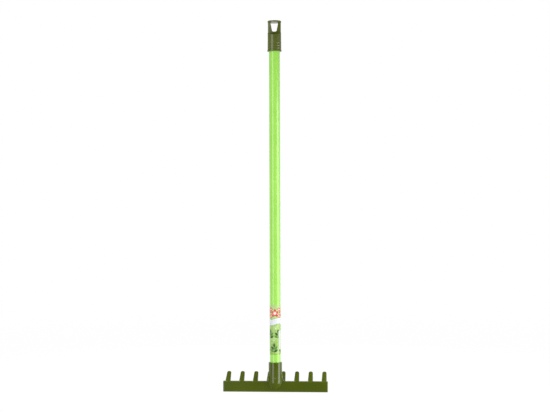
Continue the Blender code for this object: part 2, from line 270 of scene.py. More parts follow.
def tubeCoat(look):
    # lime gloss coat on steel: long drawn streaks in tone and gloss, and a slight orange peel
    made, tree, shader = newMaterial("tubeCoat")
    place = addNode(tree, "TexCoord").outputs["Object"]
    longWays = addNode(tree, "Mapping", {"Vector": place, "Scale": look["stretch"]}).outputs["Vector"]
    streak = noise(tree, longWays, look["streakScale"], 3.0, 0.6)
    peel = noise(tree, place, look["peelScale"], 2.0)
    cloud = noise(tree, place, look["cloudScale"], 3.0)
    body = mixColour(tree, ranged(tree, cloud, *middleSpan, 0, 1), look["dark"], look["light"])
    drawn = ranged(tree, streak, *look["streakSpan"], 0, look["streakShare"])
    tree.links.new(mixColour(tree, drawn, body, look["streak"]), shader.inputs["Base Color"])
    rough = ranged(tree, streak, *middleSpan, look["roughLow"], look["roughHigh"])
    tree.links.new(rough, shader.inputs["Roughness"])
    tree.links.new(bump(tree, peel, look["peelBump"], look["peelDepth"]), shader.inputs["Normal"])
    shader.inputs["IOR"].default_value = look["ior"]
    shader.inputs["Coat Weight"].default_value = look["coat"]
    shader.inputs["Coat Roughness"].default_value = look["coatRough"]
    return made


def zincSteel(look):
    # dull plated steel: fine turned rings about the pin's axis and a cloudy bloom
    made, tree, shader = newMaterial("pinZinc")
    place = addNode(tree, "TexCoord").outputs["Object"]
    around = addNode(tree, "Mapping", {"Vector": place, "Location": look["centre"]}).outputs["Vector"]
    places = {"Vector": around, "Scale": look["ringScale"], "Distortion": look["ringBend"], "Detail": 2}
    rings = addNode(tree, "TexWave", places, wave_type="RINGS", rings_direction="Y").outputs["Fac"]
    bloom = noise(tree, place, look["bloomScale"], 4.0, 0.6)
    tree.links.new(mixColour(tree, bloom, look["dark"], look["light"]), shader.inputs["Base Color"])
    rough = ranged(tree, bloom, *middleSpan, look["roughLow"], look["roughHigh"])
    tree.links.new(rough, shader.inputs["Roughness"])
    tree.links.new(bump(tree, rings, look["ringBump"], look["ringDepth"]), shader.inputs["Normal"])
    shader.inputs["Metallic"].default_value = look["metal"]
    return made


# edge: colour painted on convex edges, part wear and part painted highlight
headLook = dict(
    dark=paint(71, 85, 8), light=paint(78, 91, 13), speck=paint(91, 105, 28), edge=paint(126, 135, 56),
    edgeLow=0.1, edgeHigh=0.55, driftScale=22, grainScale=1300, hazeScale=70, grainBump=0.08,
    edgeReach=0.0012, roughLow=0.17, roughHigh=0.25, ior=1.62,
)
# edge: colour painted on convex edges, part wear and part painted highlight
capLook = dict(
    dark=paint(82, 91, 25), light=paint(90, 100, 33), speck=paint(107, 118, 58), edge=paint(124, 133, 78),
    edgeLow=0.1, edgeHigh=0.45, driftScale=40, grainScale=1500, hazeScale=120, grainBump=0.08,
    edgeReach=0.0009, roughLow=0.26, roughHigh=0.32, ior=1.75,
)
plugLook = dict(
    dark=paint(34, 34, 34), light=paint(44, 44, 44), speck=paint(66, 66, 66), edge=paint(80, 80, 80),
    edgeLow=0.0, edgeHigh=0.3, driftScale=60, grainScale=1600, hazeScale=160, grainBump=0.1,
    roughLow=0.45, roughHigh=0.6, ior=1.47,
)
coatLook = dict(
    dark=paint(156, 223, 80), light=paint(164, 230, 89), streak=paint(177, 242, 110),
    stretch=(1, 1, 0.02), streakScale=420, streakSpan=(0.45, 0.75), streakShare=0.16, cloudScale=26,
    peelScale=700, peelBump=0.03, peelDepth=0.0002, roughLow=0.24, roughHigh=0.32, ior=1.6,
    coat=1.0, coatRough=0.2,
)
pinLook = dict(
    dark=paint(100, 112, 58), light=paint(126, 136, 80), metal=0.35,
    centre=(0, 0, 0.7184),  # brings the pin's axis to the origin
    ringScale=900, ringBend=1.5, ringBump=0.12, ringDepth=0.0001,
    bloomScale=900, roughLow=0.32, roughHigh=0.5,
)


# Head: one moulding

headSize = dict(
    barHalf=106.075, barHeight=21.8, barHalfThick=4.0, cornerRound=1.6, toeRound=2.0, edgeRound=1.4,
    socketRadius=13.6, socketRise=38.3, rimRound=1.0, boreRadius=11.3, boreFloor=19.3, leadIn=0.6,
    noseToe=3.5, nosePower=1.55, noseBlend=1.4, noseLeast=0.5,
    webReach=3.4, webHeight=18.0, webInner=9.0, webOuter=14.5, webFillet=1.2, shelfShare=0.35, frontFrom=0.2,
    farStep=1.5, noseStep=2.5, bendSteps=7, endSteps=5, roundSteps=7,
    underRows=5, sideRows=30, ledgeRows=7, wallRows=44, boreRows=14,
)
tineSize = dict(
    count=8, pitch=28.05, reach=40.0, rootWidth=12.4, tipWidth=8.4, rootDepth=15.0, tipDepth=6.4,
    topDrop=1.2, rootSlope=20.0, tipSlope=35.0, fillet=1.4, tipRound=3.2, squareness=2.2, sides=44,
    buried=2.0, sunk=0.03, tiltRun=7, flareFrom=0.06, flareSteps=8, runSteps=26, tipSteps=12,
)
pinSize = dict(
    rise=7.0, seat=13.3, recess=2.1, hole=1.3, depth=9.3, toolTop=5, gap=0.3,
    shank=1.0, length=9.0, point=2.5, head=1.8, headHeight=1.0, headRound=0.8,
    crownRadius=0.5, crownRise=0.05, crownTop=0.06, roundSteps=9, sides=48,
)


def headColumns(s):
    # Half the way round the bar: the front of the nose by angle, then the bar's long side, its end and back.
    # The other half is the same, turned by 180 degrees. Each column has a core point, its side of the bar,
    # the direction of its outward normal and the angle at which it goes up the socket.
    edge = s["webOuter"]
    nose = np.radians(np.linspace(-180 + edge, -edge, round((180 - 2 * edge) / s["noseStep"]) + 1))
    noseX = s["socketRadius"] * np.cos(nose)
    inner = s["barHalf"] - s["cornerRound"]
    side = np.linspace(noseX[-1], inner, int((inner - noseX[-1]) / s["farStep"]) + 1)[1:-1]
    bend = np.radians(np.linspace(-90, 0, s["bendSteps"]))
    endShare = np.linspace(-1, 1, s["endSteps"])[1:-1]
    farX = np.concatenate([side, np.full(2 * len(bend) + len(endShare), inner), side[::-1]])
    sideShare = np.ones(len(side) + len(bend))
    share = np.concatenate([-sideShare, endShare, sideShare])
    turn = np.concatenate([np.full(len(side), -np.pi / 2), bend, np.zeros(len(endShare)), -bend[::-1],
                           np.full(len(side), np.pi / 2)])
    farAngle = np.radians(np.linspace(-edge, edge, len(farX) + 2)[1:-1])
    coreX = np.concatenate([noseX, farX])
    share = np.concatenate([np.full(len(nose), -1.0), share])
    turn = np.concatenate([np.full(len(nose), -np.pi / 2), turn])
    angle = np.concatenate([nose, farAngle])
    return (np.concatenate([coreX, -coreX]), np.concatenate([share, -share]),
            np.concatenate([turn, turn + np.pi]), np.concatenate([angle, angle + np.pi]))


def headBody(s):
    # A profile carried round the bar's outline. From the spine of the underside it goes out, round the lower
    # edge, up the side, over the upper edge, in to the socket's foot, up the socket, over the rim and down
    # the bore. The nose is a superellipse of revolution, (r/R)^p + (drop/depth)^p = 1, blended with the flat
    # side by a soft maximum. The webs widen the socket by reach * (1 - h/H)^2 near the bar's direction.
    coreX, share, turn, angle = headColumns(s)
    normal = np.stack([np.cos(turn), np.sin(turn)], -1)
    top, radius = s["barHeight"], s["socketRadius"]
    mouth = top + s["socketRise"]
    front = easeStep(s["frontFrom"], 1.0, -normal[:, 1])
    toe = s["edgeRound"] + (s["toeRound"] - s["edgeRound"]) * front
    fromBar = np.degrees(np.abs((angle + np.pi / 2) % np.pi - np.pi / 2))
    web = 1 - easeStep(s["webInner"], s["webOuter"], fromBar)

    def outline(inset, z):
        m = np.maximum(s["cornerRound"], inset)
        x = np.clip(coreX, m - s["barHalf"], s["barHalf"] - m)
        y = share * (s["barHalfThick"] - m)
        spare = np.maximum(s["cornerRound"] - inset, 0)
        x, y = x + spare * normal[:, 0], y + spare * normal[:, 1]
        drop = np.clip((top - z) / (top - s["noseToe"]), 0, 1)
        round2 = (radius * (1 - drop ** s["nosePower"]) ** (1 / s["nosePower"])) ** 2
        bulge = np.sqrt(np.maximum(round2 - x**2, 0))
        nosed = np.copysign(blendMax(np.abs(y), bulge, s["noseBlend"]), share)
        y = np.where(bulge > s["noseLeast"], nosed, y)
        return np.stack([x, y, np.broadcast_to(z, x.shape)], -1)

    def around(r, z):
        return np.stack([r * np.cos(angle), r * np.sin(angle), np.broadcast_to(z, angle.shape)], -1)

    foot = radius + s["webReach"] * web
    shelf = np.linalg.norm((outline(0 * angle, top) - around(foot, top))[:, :2], axis=1)
    edge = np.minimum(s["edgeRound"], s["shelfShare"] * shelf)
    fillet = np.minimum(s["webFillet"], s["shelfShare"] * shelf)
    half = s["barHalfThick"]
    quarter = np.linspace(0, np.pi / 2, s["roundSteps"])
    rows = [outline(half + (toe - half) * k, 0.0) for k in np.linspace(0, 1, s["underRows"])]
    rows += [outline(toe * (1 - np.sin(a)), toe * (1 - np.cos(a))) for a in quarter[1:]]
    rows += [outline(0 * angle, toe + (top - edge - toe) * k) for k in np.linspace(0, 1, s["sideRows"])[1:]]
    rows += [outline(edge * (1 - np.cos(a)), top - edge + edge * np.sin(a)) for a in quarter[1:]]
    ledge = rows[-1]
    landing = around(foot + fillet, top)
    rows += [ledge + (landing - ledge) * k for k in np.linspace(0, 1, s["ledgeRows"])[1:]]

    def wall(h):
        return radius + s["webReach"] * web * np.clip(1 - h / s["webHeight"], 0, 1) ** 2

    for a in quarter[1:]:
        h = fillet * (1 - np.cos(a))
        rows.append(around(wall(h) + fillet * (1 - np.sin(a)), top + h))
    climb = s["socketRise"] - s["rimRound"] - fillet
    for k in np.linspace(0, 1, s["wallRows"])[1:]:
        rows.append(around(wall(fillet + climb * k), top + fillet + climb * k))
    rim = s["rimRound"]
    rows += [around(radius - rim * (1 - np.cos(a)), mouth - rim + rim * np.sin(a)) for a in quarter[1:]]
    bore, lead = s["boreRadius"], s["leadIn"]
    rows += [around(bore + lead * (1 - np.sin(a)), mouth - lead * (1 - np.cos(a))) for a in quarter[::2]]
    rows += [around(bore, z) for z in np.linspace(mouth - lead, s["boreFloor"], s["boreRows"])[1:]]
    rows += [around(bore * k, s["boreFloor"]) for k in (0.66, 0.33, 0.0)]  # the bore's floor
    return np.stack(rows) + [0, 0, footZ]


def tineGrid(s, bar, x):
    # A superellipse |a|^n + |b|^n = 1 carried along an upswept line whose slope grows evenly from root to
    # tip. The section shrinks along the line, spreads in a quarter round at the root and closes in a round
    # tip. The root starts inside the bar.
    rootTan, tipTan = np.tan(np.radians([s["rootSlope"], s["tipSlope"]]))
    tipAngle = math.radians(s["tipSlope"])
    straightEnd = s["reach"] - s["tipRound"] * math.cos(tipAngle)
    flare = s["fillet"] * (1 - np.cos(np.linspace(s["flareFrom"], np.pi / 2, s["flareSteps"])))
    run = np.linspace(s["fillet"], straightEnd, s["runSteps"])[1:]
    close = np.linspace(0, np.pi / 2, s["tipSteps"])[1:]
    out = np.concatenate([[-s["buried"]], flare, run, np.full(len(close), straightEnd)])
    past = np.concatenate([np.zeros(len(out) - len(close)), s["tipRound"] * np.sin(close)])
    scale = np.concatenate([np.ones(len(out) - len(close)), np.cos(close)])
    part = np.clip(out, 0, None) / s["reach"]
    slope = np.arctan(rootTan + (tipTan - rootTan) * part)
    tilt = slope * easeStep(0, s["tiltRun"], out)
    rootHeight = bar["barHeight"] - s["topDrop"] - s["rootDepth"] / 2
    height = rootHeight + out * (rootTan + (tipTan - rootTan) * part / 2)
    near = np.clip(1 - out / s["fillet"], 0, 1)
    spread = s["fillet"] * (1 - np.sqrt(1 - near**2))
    width = s["rootWidth"] + (s["tipWidth"] - s["rootWidth"]) * part
    depth = s["rootDepth"] + (s["tipDepth"] - s["rootDepth"]) * part
    turn = np.linspace(0, 2 * np.pi, s["sides"], endpoint=False)
    power = 2 / s["squareness"]
    across = np.copysign(np.abs(np.cos(turn)) ** power, np.cos(turn))
    along = np.copysign(np.abs(np.sin(turn)) ** power, np.sin(turn))
    side = across * ((width / 2 + spread) * scale)[:, None]
    up = along * ((depth / 2) * scale)[:, None] - np.clip(-along, 0, 1) * (spread * scale)[:, None]
    y = (bar["barHalfThick"] - s["sunk"] + out + past * np.cos(slope))[:, None] - up * np.sin(tilt)[:, None]
    z = (height + past * np.sin(slope))[:, None] + up * np.cos(tilt)[:, None]
    grid = np.stack([x + side, y, z + footZ], -1)
    middle = grid[0].mean(0)
    return np.concatenate([np.broadcast_to(middle, grid[:1].shape), grid])


def turnedAbout(profile, sides, toWorld):
    # each (r, height) of a profile swept round an axis; toWorld puts (across, across, height) in place
    profile = np.array(profile, float)
    angle = np.linspace(0, 2 * np.pi, sides, endpoint=False)
    a = profile[:, :1] * np.cos(angle)
    b = profile[:, :1] * np.sin(angle)
    h = np.broadcast_to(profile[:, 1:], a.shape)
    return np.stack(toWorld(a, b, h), -1)


def pinPlace(a, b, h):
    # the pin's own axis points out of the front of the socket
    return a, -(pinSize["seat"] + h), b + footZ + headSize["barHeight"] + pinSize["rise"]


def pinTool(s):
    # the pin's hole, with a wider recess for its head
    profile = [(0, -s["depth"]), (s["hole"], -s["depth"]), (s["hole"], 0),
               (s["recess"], 0), (s["recess"], s["toolTop"]), (0, s["toolTop"])]
    return gridMesh("pinTool", turnedAbout(profile, s["sides"], pinPlace))


head = newObject("rakeHeadMoulding", gridMesh("rakeHeadMoulding", headBody(headSize)))
tinePlaces = (np.arange(tineSize["count"]) - (tineSize["count"] - 1) / 2) * tineSize["pitch"]
carve(head, joinGrids("tines", [tineGrid(tineSize, headSize, x) for x in tinePlaces]), "UNION")
carve(head, pinTool(pinSize), "DIFFERENCE")
cleanMesh(head.data)
markEdges(head.data, headLook["edgeReach"])
finishPiece(head, mouldedPlastic("headPlastic", headLook), "rake_head")


# Handle tube

tubeSize = dict(radius=11.0, wall=0.8, endCut=0.3, sides=144, rings=90)


def tubeGrid(s, low, high):
    # two coaxial cylinders joined at both ends, with a small cut on each edge
    z = np.linspace(low + s["endCut"], high - s["endCut"], s["rings"])
    outer = np.stack([np.full(s["rings"], s["radius"]), z], -1)
    inner = np.stack([np.full(s["rings"], s["radius"] - s["wall"]), z[::-1]], -1)
    lip = s["radius"] - s["endCut"]
    profile = np.concatenate([[(lip, low)], outer, [(lip, high)], inner])
    return turnedAbout(profile, s["sides"], lambda a, b, h: (a, b, h))


tubeLow, tubeHigh = (corner.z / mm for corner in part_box("handle_tube"))
tube = newObject("handleTube", gridMesh("handleTube", tubeGrid(tubeSize, tubeLow, tubeHigh), closeRows=True))
carve(tube, pinTool(pinSize), "DIFFERENCE")
cleanMesh(tube.data)
finishPiece(tube, tubeCoat(coatLook), "handle_tube", 50)


# Fixing pin

def pinGrid(s):
    # pointed shank under a low domed head
    low, crown, bend = s["gap"] - s["length"], s["gap"] + s["headHeight"], s["headRound"]
    profile = [(0, low), (s["shank"], low + s["point"]), (s["shank"], s["gap"]), (s["head"], s["gap"])]
    for a in np.linspace(0, np.pi / 2, s["roundSteps"]):
        profile.append((s["head"] - bend * (1 - math.cos(a)), crown - bend * (1 - math.sin(a))))
    profile += [(s["crownRadius"], crown + s["crownRise"]), (0, crown + s["crownTop"])]
    return turnedAbout(profile, s["sides"], pinPlace)


pin = newObject("fixingPin", gridMesh("fixingPin", pinGrid(pinSize)))
finishPiece(pin, zincSteel(pinLook), "fixing_pin", 30)


# Hanging cap

capSize = dict(
    radius=13.6, loopRadius=13.15, discRadius=13.8, foot=-58.8, boreTop=-29.5, boreRadius=11.3, leadIn=0.5,
    ridge=-20.1, ridgeSpare=1.0, shoulderSlope=23.0, shoulderBlend=1.6, shoulderSpare=0.6,
    loopHalf=5.1, loopCrown=1.2, loopStep=1.2, cornerBlend=0.7, discThick=3.0, discRound=0.9, discEdge=0.25,
    footRound=0.6, lipHeight=0.8, lipWidth=3.4, lipShare=1.7, lipPower=6,
    ribHeight=0.3, ribWidth=2.4, ribShare=1.9, ribPower=3, ribPitch=5.25, ribCount=3, ribSpare=1.0,
    ribsFrom=0.8, ribStep=0.2, columns=240, roundSteps=6, boreRows=10, sleeveRows=12, shoulderRows=48,
    loopRows=16, underRows=6,
    holeTop=0.02, holeFloor=-18.8, holeTopHalf=8.1, holeLowHalf=4.4, holeTopRound=2.5, holeLowRound=3.4,
    holeEdge=0.7, holeEdgeFrom=0.05, holeEdgeSteps=8, holeFade=(0.1, 0.6), holeReach=9.0,
)


def capProfile(s, z):
    # sleeve radius with a lip at the foot, height * exp(-q^6), and evenly spaced softer ribs, exp(-q^3)
    lip = s["foot"] + s["lipWidth"] / 2
    q = np.abs((z - lip) / (s["lipWidth"] / s["lipShare"]))
    r = s["radius"] + s["lipHeight"] * np.exp(-q ** s["lipPower"])
    for i in range(1, s["ribCount"] + 1):
        q = np.abs((z - lip - i * s["ribPitch"]) / (s["ribWidth"] / s["ribShare"]))
        r = r + s["ribHeight"] * np.exp(-q ** s["ribPower"])
    return r


def capGrid(s):
    # A profile swept round the handle's axis. Above the sleeve each level is the smaller of the circle R and
    # the distance to the loop's crowned face, y = h - c (x/R)^2, or to the shoulder,
    # y = (ridge - z) / tan slope, if that is further out, all with soft corners.
    angle = np.linspace(0, 2 * np.pi, s["columns"], endpoint=False)
    steep = np.maximum(np.abs(np.sin(angle)), 1e-3)
    curve = s["loopCrown"] * (np.cos(angle) / s["radius"]) ** 2
    face = 2 * s["loopHalf"] / (steep + np.sqrt(steep**2 + 4 * curve * s["loopHalf"]))

    def ring(r, z):
        r = np.broadcast_to(r, angle.shape)
        return np.stack([r * np.cos(angle), r * np.sin(angle), np.full(angle.shape, z)], -1)

    rise = math.tan(math.radians(s["shoulderSlope"]))

    def section(z):
        shoulder = (s["ridge"] - z) / rise / steep
        step = easeStep(s["ridge"] - s["loopStep"], s["ridge"], z)
        side = np.full(angle.shape, s["radius"] + (s["loopRadius"] - s["radius"]) * step)
        return ring(blendMin(side, blendMax(face, shoulder, s["shoulderBlend"]), s["cornerBlend"]), z)

    quarter = np.linspace(0, np.pi / 2, s["roundSteps"])
    bore, lead, foot = s["boreRadius"], s["leadIn"], s["foot"]
    rows = [ring(bore * k, s["boreTop"]) for k in (0.0, 0.5, 1.0)]
    rows += [ring(bore, z) for z in np.linspace(s["boreTop"], foot + lead, s["boreRows"])[1:]]
    rows += [ring(bore + lead * (1 - math.cos(a)), foot + lead * (1 - math.sin(a))) for a in quarter[1:]]
    bend = s["footRound"]
    skirt = capProfile(s, foot + bend)
    rows += [ring(skirt - bend + bend * math.sin(a), foot + bend - bend * math.cos(a)) for a in quarter]
    ribsTop = foot + s["lipWidth"] + s["ribCount"] * s["ribPitch"] + s["ribSpare"]
    rows += [ring(capProfile(s, z), z) for z in np.arange(foot + s["ribsFrom"], ribsTop, s["ribStep"])]
    shoulderLow = s["ridge"] - (s["radius"] + s["shoulderSpare"]) * rise
    rows += [ring(capProfile(s, z), z) for z in np.linspace(ribsTop, shoulderLow, s["sleeveRows"])]
    loopLow = s["ridge"] + s["ridgeSpare"]
    rows += [section(z) for z in np.linspace(shoulderLow, loopLow, s["shoulderRows"])[1:]]
    rows += [section(z) for z in np.linspace(loopLow, 0, s["loopRows"])[1:]]
    inner = rows[-1]
    disc, crisp = s["discRadius"], s["discEdge"]
    under = ring(disc - crisp, 0.0)
    rows += [inner + (under - inner) * k for k in np.linspace(0, 1, s["underRows"])[1:]]
    rows += [ring(disc - crisp * (1 - math.sin(a)), crisp * (1 - math.cos(a))) for a in quarter[1:]]
    top, bend = s["discThick"], s["discRound"]
    rows += [ring(disc - bend * (1 - math.cos(a)), top - bend * (1 - math.sin(a))) for a in quarter]
    rows += [ring((disc - bend) * k, top) for k in (0.75, 0.5, 0.25, 0.0)]
    return np.stack(rows)


def roundedLoop(corners, rounds, steps=9):
    # closed outline through corners given anticlockwise, each on an arc: points and outward normals
    corners = np.array(corners, float)
    before, after = corners - np.roll(corners, 1, 0), np.roll(corners, -1, 0) - corners
    arrive = np.arctan2(before[:, 1], before[:, 0])
    turn = (np.arctan2(after[:, 1], after[:, 0]) - arrive) % (2 * np.pi)
    rounds = np.array(rounds, float)
    start = corners - (rounds * np.tan(turn / 2))[:, None] * np.stack([np.cos(arrive), np.sin(arrive)], -1)
    centre = start + rounds[:, None] * np.stack([-np.sin(arrive), np.cos(arrive)], -1)
    angle = (arrive - np.pi / 2)[:, None] + turn[:, None] * np.linspace(0, 1, steps)
    normal = np.stack([np.cos(angle), np.sin(angle)], -1)
    return (centre[:, None] + rounds[:, None, None] * normal).reshape(-1, 2), normal.reshape(-1, 2)


def holeTool(s):
    # the hole's outline carried through the loop, opening in a quarter round at both faces,
    # except along its top
    low, high, floorZ, top = s["holeLowHalf"], s["holeTopHalf"], s["holeFloor"], s["holeTop"]
    points, normal = roundedLoop([(-low, floorZ), (low, floorZ), (high, top), (-high, top)],
                                 [s["holeLowRound"], s["holeLowRound"], s["holeTopRound"], s["holeTopRound"]])
    bend = np.linspace(s["holeEdgeFrom"], np.pi / 2, s["holeEdgeSteps"])
    y = np.concatenate([[-s["holeReach"]], -s["loopHalf"] + s["holeEdge"] * (1 - np.cos(bend))])
    y = np.concatenate([y, -y[::-1]])
    near = np.clip(1 - (s["loopHalf"] - np.abs(y)) / s["holeEdge"], 0, 1)
    flare = s["holeEdge"] * (1 - np.sqrt(1 - near**2))
    push = normal * (1 - easeStep(*s["holeFade"], normal[:, 1]))[:, None]
    flat = points[None] + flare[:, None, None] * push[None]
    back = np.sign(y)[:, None] * s["loopCrown"] * (flat[..., 0] / s["radius"]) ** 2  # with the crowned face
    grid = np.stack([flat[..., 0], y[:, None] - back, flat[..., 1]], -1)
    ends = [np.broadcast_to(end.mean(1, keepdims=True), end.shape) for end in (grid[:1], grid[-1:])]
    return gridMesh("holeTool", np.concatenate([ends[0], grid, ends[1]]))


cap = newObject("hangingCap", gridMesh("hangingCap", capGrid(capSize)))
carve(cap, holeTool(capSize), "DIFFERENCE")
cleanMesh(cap.data)
markEdges(cap.data, capLook["edgeReach"])
finishPiece(cap, mouldedPlastic("capPlastic", capLook), "hang_cap")


# Label

labelSize = dict(radius=11.03, film=0.14, wrap=344.0, columns=160, rows=100)
labelLook = dict(
    groundLow=paint(146, 187, 80), groundHigh=paint(177, 210, 131), cloud=paint(199, 225, 155),
    petal=paint(195, 50, 65), petalPale=paint(249, 133, 135), heart=paint(250, 236, 216),
    leaf=paint(52, 92, 40), leafPale=paint(92, 144, 60), stem=paint(94, 137, 58), dot=paint(236, 240, 230),
    ribbon=paint(224, 228, 233), panel=paint(214, 222, 204), rule=paint(126, 146, 112),
    trim=paint(112, 164, 66), roughLow=0.2, roughHigh=0.32, ior=1.5,
    cloudScale=90, cloudSpan=(0.48, 0.66), cloudShare=0.6,
    rippleScale=160, rippleBump=0.06, rippleDepth=0.0003,
)
labelPlan = dict(
    radius=11.1, motifs=4, soft=0.2,
    flowers=((91.5, 0.5, 4.6), (84, 0, 8.2), (78.5, 0.5, 4.2)),  # height, share of a pitch aside, size
    petals=5.0, petalWave=0.2, petalBase=0.8, paleFrom=0.3, veinSpan=(-1.0, -0.7), veinShare=0.5, heart=0.32,
    sprigs=((6, 0.1), (34, 0.6)), sprigLength=9.4, stalkHalf=0.4, stalkMiddle=0.45, stalkReach=0.55,
    leaves=((0.0, 32, "leaf"), (0.0, 148, "leafPale"), (0.5, 42, "leafPale"), (0.5, 138, "leaf"),
            (0.9, 90, "leaf")),  # share of the length up the stalk, degrees, tone
    leafBow=0.25, midribHalf=0.22, midribSoft=0.12, midribShare=0.5,
    dots=((24, 0.35), (29, 0.1), (53, 0.9)), dotRadius=1.1,
    panelMiddle=(15.2, 30.0), panelHalf=(5.0, 17.0), panelRound=2.0, panelTrim=2.9,
    rulePitch=3.6, ruleHalf=0.22, ruleSoft=0.1, ruleInset=0.3,
    ribbonRow=67.0, ribbonSway=1.8, ribbonWaves=2, ribbonHalf=5.8, ribbonTrim=6.4,
)


def labelGrid(s, low, high):
    # film bent round the tube and open in a strip at the back: the outer face, then the inner one back again
    first = math.radians(90 + (360 - s["wrap"]) / 2)
    turn = first + np.radians(s["wrap"]) * np.linspace(0, 1, s["columns"])
    z = np.linspace(low, high, s["rows"])
    outer = np.concatenate([np.full(s["rows"], s["radius"] + s["film"]), np.full(s["rows"], s["radius"])])
    level = np.concatenate([z, z[::-1]])
    grid = np.stack([outer * np.cos(turn)[:, None], outer * np.sin(turn)[:, None],
                     np.broadcast_to(level, (len(turn), len(level)))], -1)
    first, last = grid[:1].copy(), grid[-1:].copy()
    for end in (first, last):  # close each end of the film on its middle line
        end[0, :s["rows"]] = end[0, s["rows"]:][::-1] = (end[0, :s["rows"]] + end[0, s["rows"]:][::-1]) / 2
    return np.concatenate([first, grid, last])


